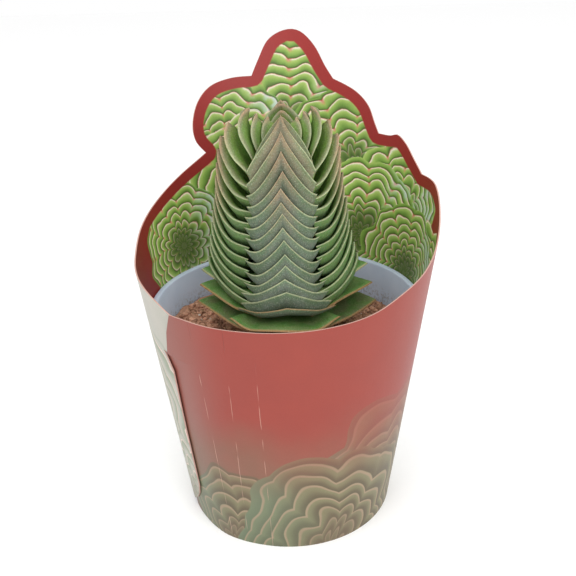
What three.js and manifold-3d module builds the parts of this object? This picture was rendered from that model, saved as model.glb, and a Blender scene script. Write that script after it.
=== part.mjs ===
// A column-forming succulent in a plastic nursery pot, with a printed card sleeve round the pot.
// Millimetres, +Z up. The origin is on the pot's axis, at the underside of its floor.
// The viewer's side, the front, is -Y, and +X is to the right.
import * as THREE from "three";
import { mergeVertices } from "three/addons/utils/BufferGeometryUtils.js";
import Module from "manifold-3d";

const wasm = await Module();
wasm.setup();

// Driving dimensions of the pot
const POT_HEIGHT = 70.2;
const POT_RIM_RADIUS = 42.5;
const POT_BASE_RADIUS = 29.5;
const POT_WALL = 1.1;
const POT_FLOOR = 1.6;
const LIP_DEPTH = 5.5;
const LIP_WIDTH = 0.9;
const LIP_TAPER = 0.8;
const BASE_ROUND = 1.4;
const DRAIN_COUNT = 6;
const DRAIN_RADIUS = 3;
const DRAIN_CIRCLE = 21;
const ROUND_STEPS = 48;

// Driving dimensions of the soil
const SOIL_LEVEL = 58.4;
const SOIL_BANK = 2.2;
const SOIL_BUMP = 0.45;
const SOIL_RINGS = [9, 16, 23, 29, 34];

// Clearance between neighbouring pieces
const GAP = 0.3;

// Driving dimensions of the stem, and of the crowded leaf bases round it
const STEM_FOOT = 40;
const STEM_RADIUS = 4.5;
const BASES_RADIUS = 8.5;
const BASES_FROM = 64;
const BASES_TO = 108;
const STEM_TOP = 117;
const STEM_STEPS = 12;

// Driving dimensions of the leaf column. A level is a place down the column, counted from the top front
// leaf: whole levels hold a front and a back leaf, and half levels a left and a right one. The levels
// below 0 are the bud, whose leaves are smaller and close over the top.
const BUD_LEVEL = -1.5;
const LAST_FRONT_LEVEL = 14;
const LAST_SIDE_LEVEL = 14.5;
const BUD_SHRINK = 0.23;
const BUD_SINK = 1.6;
const BUD_DROP = 1.3;
const DOME_TOP = 132.3;
const DOME_BASE = 117;
const DOME_POWER = 2.2;
const COLUMN_RADIUS = 20;
const COLUMN_TAPER = 0.12;
const COLUMN_FLARE = 0.0008;
const TOP_TIP = 130.8;
const TIP_PITCH = 3.62;
const CROWN_STRETCH = 3.6;
const CROWN_LEVELS = [0.6, 4.6];
const TOP_CORNER = 115.9;
const CORNER_PITCH = 3.3;
const TOP_ROOT = 112;
const ROOT_PITCH = 3.15;
const ROOT_RADIUS = 3;
const WALL_BEND = 3.2;
const CROWN_SLOPE_LEVELS = [0.5, 6];
const FLANK_DEPTH = 0.45;
const HOOK_LEVELS = [1, 8];
const LOOSE_LEVELS = [6, 12];
const BLUNT_LEVELS = [9.5, 12.5];
const FRONT_LEAF = {
  halfSpan: 34,
  narrowing: 0.42,
  pinch: 0,
  slope: 0.3,
  crownSlope: 0,
  hook: 1.6,
  dip: 0,
  thickening: 0,
  crownThickening: 0,
  budThickening: 0.9,
  opening: [12.3, 14],
  openPoint: 0.036,
  margin: [0.9, 0.37, 0.7, 1.75],
  looseMargin: 0,
  blunt: 0.7,
};
const SIDE_LEAF = {
  halfSpan: 56,
  narrowing: 0.25,
  pinch: 0.08,
  slope: 0.5,
  crownSlope: 0.6,
  hook: 0.32,
  dip: 2.2,
  thickening: 0.6,
  crownThickening: 0.8,
  budThickening: 0,
  opening: [11.3, 12.5],
  openPoint: 0.36,
  margin: [0.85, 0.55, 0.6, 2.8],
  looseMargin: 1.3,
  blunt: 0,
};
const BASE_WIDENING = 4;
const PLAN_POWER = 1.4;
const OPEN_SLOPE = 1.15;
const OPEN_DROP = 1.5;
const OPEN_DEPTH = 2.6;
const OPEN_SPREAD = 6;
const OPEN_WAVE = 0.5;
const OPEN_REACH = 0.8;
const OPEN_SAG = 2.1;
const SAG_LEVEL = 12;
const TIP_CURL = 0.9;
const RIGHT_SQUEEZE = 2;
const LEAF_THICKNESS = 1;
const EDGE_THICKNESS = 0.75;
const THICKENING_DEPTH = 2.6;
const SLIVER = 0.02;
const ACROSS = [-1, -0.7, -0.34, 0, 0.34, 0.7, 1];
const DOWN = [0, 0.55, 1];

// Driving dimensions of the card sleeve. Angles are degrees round from the back, + to the right. The
// sheet starts at the back panel's flap, at the front left, and runs on past 180 to the front panel's end.
const CARD = 0.4;
const SLEEVE_BASE_RADIUS = 33.1;
const SLEEVE_TAPER = 0.1382;
const LOCK_HEIGHT = 66;
const LOCK_SLIT = 0.3;
const LOCK_LIFT = 0.56;
const LOCK_FLAT = 10;
const LOCK_BLEND = 26;
const BACK_SLIT_ROOT = -124;
const BACK_TAB_END = -140;
const BACK_FLAP_END = -130;
const FRONT_SLIT_ROOT = 218;
const FRONT_TAB_END = 231.5;
const FRONT_TONGUE_FLAT = 236;
const FRONT_TONGUE_END = 250;
const FOLD_STEP = 4;
const EDGE_STEP = 3;
const ANGLE_GRID = 0.5;

// The sleeve's top edge as [angle, height], from the back panel's tab round the left, the back, the right
// and the front. Each stretch is one smooth curve, and stretches meet in sharp corners.
const TOP_EDGE = [
  [[-140, 79], [-132, 81.4], [-125, 83.4], [-112, 85.2], [-94, 87.6], [-78, 92.2], [-59, 97.8], [-41, 104],
    [-33.6, 107]],
  [[-33.6, 107], [-37.4, 111.4], [-37.8, 117], [-34.6, 123.6], [-28.5, 128.4], [-20, 130.4], [-11.8, 130.6]],
  [[-11.8, 130.6], [-9, 135.7], [-5, 142], [1, 145], [6.6, 144.6], [12, 140], [16.2, 133.6], [19.6, 129.4]],
  [[19.6, 129.4], [28.8, 125.9], [34.8, 121.6], [38.2, 116.4], [40.6, 113]],
  [[40.6, 113], [46, 113], [50, 113.8], [55, 111.6], [60.9, 107.6], [67, 104.2]],
  [[67, 104.2], [77, 104], [84, 101.8], [94, 96.6], [104, 92], [118, 88.2], [134, 85.6], [148, 82.8],
    [164, 81.6], [180, 81.1], [204, 80.9], [216, 81.2], [224.5, 81.2]],
];

// The rest of the sheet's outline: the front panel's end with its slit, the foot, and the back panel's
// flap with its round lower corner and its slit.
const SHEET_ENDS = [
  [224.5, 81.2],
  [228.5, 74.5],
  [FRONT_TAB_END, LOCK_HEIGHT + LOCK_SLIT],
  [FRONT_SLIT_ROOT, LOCK_HEIGHT],
  [FRONT_TONGUE_END, LOCK_HEIGHT - LOCK_SLIT],
  [FRONT_TONGUE_END, 0],
  [-96, 0],
  [-104, 1.2],
  [-112, 3.6],
  [-119.5, 7.2],
  [-124.2, 11],
  [-127.2, 15.5],
  [-128, 38],
  [BACK_FLAP_END, 60.5],
  [BACK_SLIT_ROOT - 1.5, LOCK_HEIGHT - LOCK_SLIT],
  [BACK_SLIT_ROOT, LOCK_HEIGHT],
  [BACK_TAB_END, LOCK_HEIGHT + LOCK_SLIT],
];

const rad = THREE.MathUtils.degToRad;
const clamp = THREE.MathUtils.clamp;
const smooth = THREE.MathUtils.smoothstep;

// A fixed draw between -1 and 1 for each whole number, the same each time.
function draw(number) {
  const value = Math.sin(number * 12.9898) * 43758.5453;
  return 2 * (value - Math.floor(value)) - 1;
}

function bare(geometry) {
  const copy = geometry.clone();
  copy.deleteAttribute("normal");
  copy.deleteAttribute("uv");
  return mergeVertices(copy, 1e-4);
}

function solidOf(geometry) {
  const merged = bare(geometry);
  return new wasm.Manifold(
    new wasm.Mesh({
      numProp: 3,
      vertProperties: merged.attributes.position.array,
      triVerts: new Uint32Array(merged.index.array),
    }),
  );
}

function geometryOf(solid) {
  const mesh = solid.getMesh();
  const geometry = new THREE.BufferGeometry();
  geometry.setAttribute("position", new THREE.BufferAttribute(mesh.vertProperties, 3));
  geometry.setIndex(new THREE.BufferAttribute(mesh.triVerts, 1));
  geometry.computeVertexNormals();
  return geometry;
}

function geometryFrom(points, triangles) {
  const geometry = new THREE.BufferGeometry();
  geometry.setAttribute("position", new THREE.Float32BufferAttribute(points.flat(), 3));
  geometry.setIndex(triangles.flat());
  geometry.computeVertexNormals();
  return geometry;
}

// A body turned round the Z axis, from a profile of [radius, height] points.
function turned(profile, steps) {
  const points = profile.map(([radius, height]) => new THREE.Vector2(radius, height));
  return new THREE.LatheGeometry(points, steps).rotateX(Math.PI / 2);
}

// The pot

// Radius of the pot's tapering body, outside, at a height.
function potRadius(z) {
  return POT_BASE_RADIUS + ((POT_RIM_RADIUS - LIP_WIDTH - POT_BASE_RADIUS) * z) / POT_HEIGHT;
}

function makePot() {
  const lipFoot = POT_HEIGHT - LIP_DEPTH;
  const inside = (z) => potRadius(z) - POT_WALL;
  const shell = turned(
    [
      [0, 0],
      [POT_BASE_RADIUS - BASE_ROUND, 0],
      [POT_BASE_RADIUS, BASE_ROUND],
      [potRadius(lipFoot), lipFoot],
      [POT_RIM_RADIUS - LIP_TAPER, lipFoot],
      [POT_RIM_RADIUS, POT_HEIGHT - 0.6],
      [POT_RIM_RADIUS - 0.5, POT_HEIGHT],
      [inside(POT_HEIGHT) + 0.4, POT_HEIGHT],
      [inside(POT_HEIGHT), POT_HEIGHT - 0.6],
      [inside(POT_FLOOR + BASE_ROUND), POT_FLOOR + BASE_ROUND],
      [inside(POT_FLOOR) - BASE_ROUND, POT_FLOOR],
      [0, POT_FLOOR],
    ],
    ROUND_STEPS,
  );
  let pot = solidOf(shell);
  for (let i = 0; i < DRAIN_COUNT; i += 1) {
    const turn = (2 * Math.PI * i) / DRAIN_COUNT;
    const drain = new THREE.CylinderGeometry(DRAIN_RADIUS, DRAIN_RADIUS, 3 * POT_FLOOR, 16);
    drain.rotateX(Math.PI / 2);
    drain.translate(DRAIN_CIRCLE * Math.cos(turn), DRAIN_CIRCLE * Math.sin(turn), POT_FLOOR / 2);
    pot = pot.subtract(solidOf(drain));
  }
  return geometryOf(pot);
}

// The soil

// Height of the soil's surface: a bank against the left wall, and low bumps.
function soilHeight(x, y) {
  const bank = SOIL_BANK * smooth(-x, 12, 36);
  const bumps = Math.sin(0.55 * x + 1.3) * Math.cos(0.48 * y) + 0.6 * Math.sin(0.31 * x - 0.83 * y);
  return SOIL_LEVEL + bank + SOIL_BUMP * bumps;
}

function makeSoil() {
  const foot = POT_FLOOR + GAP;
  const holeRadius = STEM_RADIUS + GAP;
  const holeFloor = STEM_FOOT - GAP;
  const wall = (z) => potRadius(z) - POT_WALL - GAP;
  const body = turned(
    [
      [0, holeFloor],
      [holeRadius, holeFloor],
      ...[holeRadius, ...SOIL_RINGS, wall(SOIL_LEVEL - 1)].map((radius) => [radius, SOIL_LEVEL]),
      [wall(foot + BASE_ROUND), foot + BASE_ROUND],
      [wall(foot) - BASE_ROUND, foot],
      [0, foot],
    ].reverse(),
    ROUND_STEPS,
  );
  const place = body.attributes.position;
  for (let i = 0; i < place.count; i += 1) {
    if (place.getZ(i) > SOIL_LEVEL - GAP) place.setZ(i, soilHeight(place.getX(i), place.getY(i)));
  }
  return body;
}

// The leafy stem

// Radius of the column at the leaf tips: a dome on top of a shaft that widens downwards.
function columnRadius(z) {
  const rise = clamp((z - DOME_BASE) / (DOME_TOP - DOME_BASE), 0, 0.985);
  const down = Math.max(DOME_BASE - z, 0);
  const dome = (1 - rise ** DOME_POWER) ** (1 / DOME_POWER);
  return COLUMN_RADIUS * dome + COLUMN_TAPER * down + COLUMN_FLARE * down * down;
}

// How far the leaf at a level has opened: 0 for a cup that hugs the column, 1 for the oldest, which lie flat.
function openness(level, kind) {
  return smooth(level, ...kind.opening);
}

// Height of the tip of the leaf at a level: even steps, longer ones where the dome turns into the shaft and
// where old leaves sag. The side leaves beside the bud stand a little lower.
function tipHeight(level, kind) {
  if (level < 0) return TOP_TIP - BUD_DROP * Math.max(-level - 0.3, 0);
  const sag = OPEN_SAG * openness(level, kind) * Math.max(level - SAG_LEVEL, 0);
  const dip = kind.dip * smooth(level, -0.8, 0.5) * (1 - smooth(level, 1.5, 3.5));
  return TOP_TIP - TIP_PITCH * level - CROWN_STRETCH * smooth(level, ...CROWN_LEVELS) - sag - dip;
}

// The sizes of one leaf at its level.
function leafSizes(level, serial, kind) {
  const opened = openness(level, kind);
  const closed = 1 - opened;
  const tip = tipHeight(level, kind) + 0.3 * draw(serial);
  const corner = TOP_CORNER - CORNER_PITCH * Math.max(level, -0.5);
  const bud = Math.max(-0.5 - level, 0);
  const crown = 1 - smooth(level, ...CROWN_SLOPE_LEVELS);
  const [margin, marginGain, leastMargin, mostMargin] = kind.margin;
  const loose = kind.looseMargin * smooth(level, ...LOOSE_LEVELS);
  const inBud = kind.budThickening * (1 - smooth(level, 0, 1));
  return {
    tip,
    opened,
    closed,
    drop: (tip - corner) * closed + OPEN_DROP * opened,
    hook: kind.hook * smooth(level, ...HOOK_LEVELS),
    depth: (tip - TOP_ROOT + ROOT_PITCH * level) * closed + OPEN_DEPTH * opened,
    scale: (1 - BUD_SHRINK * bud) * (1 + 0.012 * draw(serial + 900)),
    sink: BUD_SINK * bud,
    power: clamp(margin + marginGain * level, leastMargin, mostMargin) - loose,
    roundTip: smooth(-level, 0.2, 1) + kind.blunt * smooth(level, ...BLUNT_LEVELS),
    halfSpan: kind.halfSpan + BASE_WIDENING * smooth(level, 8, 15) + OPEN_SPREAD * opened,
    narrowing: kind.narrowing * closed,
    pinch: kind.pinch * (1 - smooth(level, 3, 8)),
    slope: kind.slope + kind.crownSlope * crown,
    square: PLAN_POWER - kind.openPoint * opened,
    thickness: LEAF_THICKNESS + (kind.thickening + kind.crownThickening * crown + inBud) * closed,
    wave: 3 * draw(serial + 70),
    heading: 1.2 * draw(serial + 500),
  };
}

// A point of a leaf's outer face as [angle, radius, height], across from -1 to 1 and down from 0 at the
// rim to 1 at the stem. The face follows the column's outline down from the rim, drawing in a little all
// the way and then sharply to the stem. On an open leaf it is a shallow slope instead.
function outerFace(sizes, u, v) {
  const aside = Math.abs(u);
  const { opened, closed, square } = sizes;
  const fallen = (1 - (1 - aside) ** sizes.power) * (1 - sizes.roundTip) + aside ** 2 * sizes.roundTip;
  const lift = sizes.hook * (smooth(aside, 0.5, 1.1) - 0.3 * Math.sin(Math.PI * aside));
  const wave = OPEN_WAVE * opened * Math.sin(5 * u + sizes.wave) * (1 - aside ** 4);
  const z = sizes.tip - sizes.drop * fallen + lift + wave;
  const depth = sizes.depth * (1 - FLANK_DEPTH * aside);
  const fall = (1 - (1 - v) ** 2) * closed + (1 - (1 - v) ** OPEN_SLOPE) * opened;
  const angle = rad(sizes.halfSpan * u * (1 - sizes.narrowing * fall));
  const plan = (Math.cos(angle) ** square + Math.abs(Math.sin(angle)) ** square) ** (-1 / square);
  const pinch = 1 - sizes.pinch * smooth(aside, 0.6, 1);
  const outline = columnRadius(z - depth * fall + sizes.sink) * plan * sizes.scale * pinch;
  const curl = TIP_CURL * (1 - aside) ** 3 * Math.exp((-depth * fall) / 1.5) * closed;
  const wide = Math.max(outline - sizes.slope * depth * fall + OPEN_REACH * opened - curl, ROOT_RADIUS + 1);
  const inset = v ** (WALL_BEND * closed + OPEN_SLOPE * opened);
  return [angle, ROOT_RADIUS + (wide - ROOT_RADIUS) * (1 - inset), z - depth * fall];
}

// A point of a leaf before it is turned to its heading. The inner face is the outer one moved in by a
// thickness, which grows from the leaf's edge to its fleshy middle.
function leafPoint(sizes, u, v, inner) {
  const [angle, radius, height] = outerFace(sizes, u, v);
  if (!inner) return [angle, radius, height];
  const [, rimRadius, rimHeight] = outerFace(sizes, u, 0);
  const ahead = outerFace(sizes, u, Math.min(v + 0.01, 1));
  const behind = outerFace(sizes, u, Math.max(v - 0.01, 0));
  const along = [ahead[1] - behind[1], ahead[2] - behind[2]];
  const below = Math.hypot(rimRadius - radius, rimHeight - height);
  const body = smooth(below, -0.3, THICKENING_DEPTH) * (1 - 0.2 * Math.abs(u) ** 3);
  const thickness = EDGE_THICKNESS + (sizes.thickness - EDGE_THICKNESS) * body;
  const step = thickness / Math.hypot(...along);
  return [angle, radius + step * along[1], height - step * along[0]];
}

// A closed blade: the outer and the inner face as grids, joined round their edge.
function leafSolid(level, side, serial) {
  const onSides = level % 1 !== 0;
  const kind = onSides ? SIDE_LEAF : FRONT_LEAF;
  const sizes = leafSizes(level, serial, kind);
  const turn = rad((onSides ? 90 : 0) + 180 * side + sizes.heading);
  const points = [];
  for (const inner of [false, true]) {
    for (const v of DOWN) {
      for (const u of ACROSS) {
        const [angle, r, h] = leafPoint(sizes, u, v, inner);
        const x = r * Math.sin(turn + angle);
        const squeeze = RIGHT_SQUEEZE * smooth(x, 6, 20) * smooth(h, 76, 92);
        points.push([x - squeeze, -r * Math.cos(turn + angle), h]);
      }
    }
  }
  const columns = ACROSS.length;
  const rows = DOWN.length;
  const at = (face, row, column) => (face * rows + row) * columns + column;
  const triangles = [];
  const quad = (a, b, c, d) => triangles.push([a, b, c], [a, c, d]);
  for (let row = 0; row < rows - 1; row += 1) {
    for (let column = 0; column < columns - 1; column += 1) {
      quad(at(0, row, column), at(0, row + 1, column), at(0, row + 1, column + 1), at(0, row, column + 1));
      quad(at(1, row, column), at(1, row, column + 1), at(1, row + 1, column + 1), at(1, row + 1, column));
    }
    quad(at(0, row, 0), at(1, row, 0), at(1, row + 1, 0), at(0, row + 1, 0));
    const end = columns - 1;
    quad(at(0, row, end), at(0, row + 1, end), at(1, row + 1, end), at(1, row, end));
  }
  for (let column = 0; column < columns - 1; column += 1) {
    quad(at(0, 0, column), at(0, 0, column + 1), at(1, 0, column + 1), at(1, 0, column));
    const foot = rows - 1;
    quad(at(0, foot, column), at(1, foot, column), at(1, foot, column + 1), at(0, foot, column + 1));
  }
  return solidOf(geometryFrom(points, triangles));
}

function makeLeafyStem() {
  const stem = turned(
    [
      [0, STEM_FOOT],
      [STEM_RADIUS, STEM_FOOT],
      [STEM_RADIUS, BASES_FROM - 4],
      [BASES_RADIUS, BASES_FROM],
      [BASES_RADIUS, BASES_TO],
      [BASES_RADIUS - 3, STEM_TOP - 3],
      [0, STEM_TOP],
    ],
    STEM_STEPS,
  );
  const solids = [solidOf(stem)];
  for (let level = BUD_LEVEL; level <= LAST_SIDE_LEVEL; level += 0.5) {
    if (level % 1 === 0 && level > LAST_FRONT_LEVEL) continue;
    for (const side of [0, 1]) solids.push(leafSolid(level, side, 4 * level + side + 12));
  }
  // The outer body alone: pockets closed in between blades are filled.
  const bodies = wasm.Manifold.union(solids).decompose();
  const outer = bodies.reduce((most, body) => (body.volume() > most.volume() ? body : most));
  return geometryOf(outer.simplify(SLIVER));
}

// The sleeve

// The flat outline of the sheet, as [angle, height] points.
function sheetOutline() {
  const outline = [];
  for (const stretch of TOP_EDGE) {
    const curve = new THREE.SplineCurve(stretch.map(([angle, z]) => new THREE.Vector2(angle, z)));
    const count = Math.max(2, Math.round(curve.getLength() / EDGE_STEP));
    for (const point of curve.getSpacedPoints(count).slice(0, -1)) outline.push([point.x, point.y]);
  }
  outline.push(...SHEET_ENDS);
  return outline.map(([angle, z]) => [Math.round(angle / ANGLE_GRID) * ANGLE_GRID, z]);
}

// How far the sheet stands out from the plain cone. At the lock, above the slit the front panel's tab lies
// over the back panel's, and below it the back panel's flap lies over the front panel's tongue.
function sheetLift(angle, z) {
  const above = z > LOCK_HEIGHT;
  if (angle < BACK_SLIT_ROOT) {
    const tabEnd = above ? BACK_TAB_END : BACK_FLAP_END;
    const along = clamp((BACK_SLIT_ROOT - angle) / (BACK_SLIT_ROOT - tabEnd), 0, 1);
    return LOCK_LIFT * (above ? 1 - along : 1 + along);
  }
  if (angle > FRONT_SLIT_ROOT) {
    const tabEnd = above ? FRONT_TAB_END : FRONT_TONGUE_FLAT;
    const along = clamp((angle - FRONT_SLIT_ROOT) / (tabEnd - FRONT_SLIT_ROOT), 0, 1);
    return LOCK_LIFT * (above ? 1 + along : 1 - along);
  }
  const blendFrom = BACK_SLIT_ROOT + LOCK_FLAT;
  const fromBack = 1 - smooth(angle, blendFrom, blendFrom + LOCK_BLEND);
  return LOCK_LIFT * (fromBack + smooth(angle, FRONT_SLIT_ROOT - LOCK_BLEND, FRONT_SLIT_ROOT));
}

// A point of the rolled sheet, on its inner face or a card's thickness further out.
function sheetPoint(angle, z, thickness) {
  const radius = SLEEVE_BASE_RADIUS + SLEEVE_TAPER * z + sheetLift(angle, z) + thickness;
  return [radius * Math.sin(rad(angle)), radius * Math.cos(rad(angle)), z];
}

// The upright cells of the flat sheet between two neighbouring fold lines, each with the heights of its
// lower and upper side at both lines.
function sheetCells(outline, lines) {
  const cells = [];
  for (let i = 0; i + 1 < lines.length; i += 1) {
    const [left, right] = [lines[i], lines[i + 1]];
    const crossing = [];
    outline.forEach(([a, z], k) => {
      const [nextA, nextZ] = outline[(k + 1) % outline.length];
      if (Math.min(a, nextA) > left || Math.max(a, nextA) < right) return;
      crossing.push([left, right].map((line) => z + ((nextZ - z) * (line - a)) / (nextA - a)));
    });
    crossing.sort((p, q) => p[0] + p[1] - q[0] - q[1]);
    for (let k = 0; k < crossing.length; k += 2) {
      cells.push({ left, right, low: crossing[k], high: crossing[k + 1] });
    }
  }
  return cells;
}

function makeSleeve() {
  const outline = sheetOutline();
  const lines = new Set(outline.map(([angle]) => angle));
  for (let angle = BACK_TAB_END; angle < FRONT_TONGUE_END; angle += FOLD_STEP) lines.add(angle);
  const cells = sheetCells(outline, [...lines].sort((p, q) => p - q));

  // Every corner of a cell is a point of the fold line it is on, for the cells on both its sides.
  const onLine = new Map();
  const points = [];
  const addPoint = (angle, z) => {
    if (!onLine.has(angle)) onLine.set(angle, []);
    const known = onLine.get(angle);
    if (known.some((point) => Math.abs(point.z - z) < 1e-6)) return;
    known.push({ z, index: points.length });
    points.push(sheetPoint(angle, z, CARD), sheetPoint(angle, z, 0));
  };
  for (const { left, right, low, high } of cells) {
    for (const side of [low, high]) {
      addPoint(left, side[0]);
      addPoint(right, side[1]);
    }
  }
  for (const known of onLine.values()) known.sort((p, q) => p.z - q.z);
  const chain = (angle, low, high) =>
    onLine.get(angle).filter(({ z }) => z > low - 1e-6 && z < high + 1e-6);

  // Each cell is a zip of triangles between its two lines. An edge used once is part of the sheet's rim.
  const triangles = [];
  const rim = new Map();
  const addTriangle = (...corners) => {
    const [a, b, c] = corners.map((corner) => corner.index);
    triangles.push([a, b, c], [a + 1, c + 1, b + 1]);
    for (const [from, to] of [[a, b], [b, c], [c, a]]) {
      if (!rim.delete(to + " " + from)) rim.set(from + " " + to, [from, to]);
    }
  };
  for (const { left, right, low, high } of cells) {
    const lefts = chain(left, low[0], high[0]);
    const rights = chain(right, low[1], high[1]);
    while (lefts.length > 1 || rights.length > 1) {
      const takeLeft = rights.length === 1 || (lefts.length > 1 && lefts[1].z < rights[1].z);
      if (takeLeft) addTriangle(lefts.shift(), lefts[0], rights[0]);
      else addTriangle(rights[0], lefts[0], (rights.shift(), rights[0]));
    }
  }
  for (const [from, to] of rim.values()) triangles.push([to, from, from + 1], [to, from + 1, to + 1]);
  return geometryFrom(points, triangles);
}

// The assembly
const LOOKS = {
  pot: { geometry: makePot(), color: 0xa4acb4, roughness: 0.45 },
  soil: { geometry: makeSoil(), color: 0x6b4a36, roughness: 0.95 },
  leafy_stem: { geometry: makeLeafyStem(), color: 0x6f8a55, roughness: 0.6 },
  sleeve: { geometry: makeSleeve(), color: 0xa13a2c, roughness: 0.4 },
};

const plant = new THREE.Group();
for (const [name, { geometry, color, roughness }] of Object.entries(LOOKS)) {
  const mesh = new THREE.Mesh(geometry, new THREE.MeshStandardMaterial({ color, roughness, metalness: 0 }));
  mesh.name = name;
  plant.add(mesh);
}

export default plant;
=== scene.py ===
# %% [markdown]
# A column succulent in its nursery pot, with a rolled card sleeve
#
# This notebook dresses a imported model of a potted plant. The plant is one square column of cupped
# leaves, which sit in four ranks and nest so closely that only their rims and a band of each outer
# face show. It stands in a grey plastic pot, and the pot stands in a sleeve of printed card whose lobed
# back rises behind the plant. Each piece is worked out as a surface over a grid, from a few sizes.

# %% Load the frame
import math

import bmesh
import bpy
import numpy as np
from mathutils import Matrix, geometry


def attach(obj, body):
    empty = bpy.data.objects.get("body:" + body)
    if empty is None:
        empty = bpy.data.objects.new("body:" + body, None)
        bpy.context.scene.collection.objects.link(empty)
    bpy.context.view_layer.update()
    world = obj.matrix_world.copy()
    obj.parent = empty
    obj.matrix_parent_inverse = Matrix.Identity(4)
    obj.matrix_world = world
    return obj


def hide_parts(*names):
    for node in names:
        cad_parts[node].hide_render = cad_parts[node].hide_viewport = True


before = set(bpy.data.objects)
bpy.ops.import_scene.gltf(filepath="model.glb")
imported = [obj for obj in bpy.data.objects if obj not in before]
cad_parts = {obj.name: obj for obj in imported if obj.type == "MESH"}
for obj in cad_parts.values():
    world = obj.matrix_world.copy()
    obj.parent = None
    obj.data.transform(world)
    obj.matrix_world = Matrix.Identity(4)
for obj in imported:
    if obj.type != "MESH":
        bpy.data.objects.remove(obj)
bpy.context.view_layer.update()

MM = 0.001
scene = bpy.context.scene

# %% [markdown]
# The camera
#
# A photograph of a round pot holds enough to find its camera: the rim is an ellipse, the sleeve's two
# sides are straight, and both must come out right at once. The camera here stands 24 degrees above
# the plant and close to it, so that the pot's foot looks clearly smaller than its rim.

# %% Place the camera
CAMERA_PLACE = (3.69, -238.9, 182.4)
CAMERA_DOWN, CAMERA_LEFT, CAMERA_TILT = 24.43, 0.73, 1.54
CAMERA_LENS, NEAREST_VIEW = 52.33, 10


def stand(thing, axes, place):
    """Put a camera or a lamp at a place in millimetres, with its own X, Y and Z along three directions."""
    matrix = np.eye(4)
    matrix[:3, :3] = np.array(axes).T
    matrix[:3, 3] = np.array(place) * MM
    thing.matrix_world = Matrix(matrix.tolist())


def camera_axes(down, left, tilt):
    """Right, up and back directions of a camera that looks along +Y, then turns left and down, and tilts."""
    down, left, tilt = np.radians([down, left, tilt])
    ahead = np.array([-np.sin(left) * np.cos(down), np.cos(left) * np.cos(down), -np.sin(down)])
    right = np.cross(ahead, [0, 0, 1])
    right /= np.linalg.norm(right)
    up = np.cross(right, ahead)
    turned = right * np.cos(tilt) - up * np.sin(tilt), right * np.sin(tilt) + up * np.cos(tilt)
    return (*turned, -ahead)


camera = bpy.data.objects.new("camera", bpy.data.cameras.new("camera"))
scene.collection.objects.link(camera)
camera.data.lens = CAMERA_LENS
camera.data.clip_start = NEAREST_VIEW * MM
stand(camera, camera_axes(CAMERA_DOWN, CAMERA_LEFT, CAMERA_TILT), CAMERA_PLACE)
scene.camera = camera
print("camera", CAMERA_PLACE, "lens", CAMERA_LENS)

# %% [markdown]
# Numbers that look random but never change
#
# Leaves and crumbs differ a little from one another. A true random draw would give another plant each
# time, so the draws come from a formula: the fraction of a large sine is as good as random, and is the
# same on every run. Noise over a surface is such draws at the corners of a lattice, blended in between.

# %% Draws, blends and noise
COLUMN_STRIDE, ROW_STRIDE = 57.31, 131.17


def draw(number):
    """A fixed draw from -1 to 1 for each number: the fraction of a large sine."""
    value = np.sin(np.asarray(number) * 12.9898) * 43758.5453
    return 2 * (value - np.floor(value)) - 1


def ease(value, low, high):
    """0 below low, 1 above high, and a smooth S between."""
    t = np.clip((value - low) / (high - low), 0, 1)
    return t * t * (3 - 2 * t)


def bumps(x, y, pitch, seed):
    """Value noise: fixed draws at the corners of a square lattice, blended by S curves between them."""
    column, row = np.floor(x / pitch), np.floor(y / pitch)
    across, along = ease(x / pitch - column, 0, 1), ease(y / pitch - row, 0, 1)

    def corner(i, j):
        """The draw at one corner of each point's square."""
        return draw((column + i) * COLUMN_STRIDE + (row + j) * ROW_STRIDE + seed)

    near = corner(0, 0) * (1 - across) + corner(1, 0) * across
    far = corner(0, 1) * (1 - across) + corner(1, 1) * across
    return near * (1 - along) + far * along


print("first draws", np.round(draw(np.arange(1, 5)), 3))

# %% [markdown]
# From a grid of points to a mesh
#
# Most pieces here are one function of two parameters. Its values on a grid are the vertices, and
# neighbouring grid points make the faces. A direction of the grid may close on itself, as the way round
# a pot does. Points that fall together, as at a pole or at a leaf's end, are merged, which closes the
# surface. Numbers that a finish needs, such as the distance from a rim, are kept on the points.

# %% Grid and mesh helpers
MERGE_DISTANCE = 1e-6


def grid_faces(rows, columns, close_rows=False, close_columns=False):
    """Quads of a grid whose points are numbered row by row, as an array of four indices each."""
    index = np.arange(rows * columns).reshape(rows, columns)
    if close_rows:
        index = np.vstack([index, index[:1]])
    if close_columns:
        index = np.hstack([index, index[:, :1]])
    return np.stack([index[:-1, :-1], index[:-1, 1:], index[1:, 1:], index[1:, :-1]], -1).reshape(-1, 4)


def copied_faces(faces, copies, points_each):
    """The faces of many copies of one shape, whose points are numbered copy by copy."""
    return (faces + np.arange(copies)[:, None, None] * points_each).reshape(-1, faces.shape[1])


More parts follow.
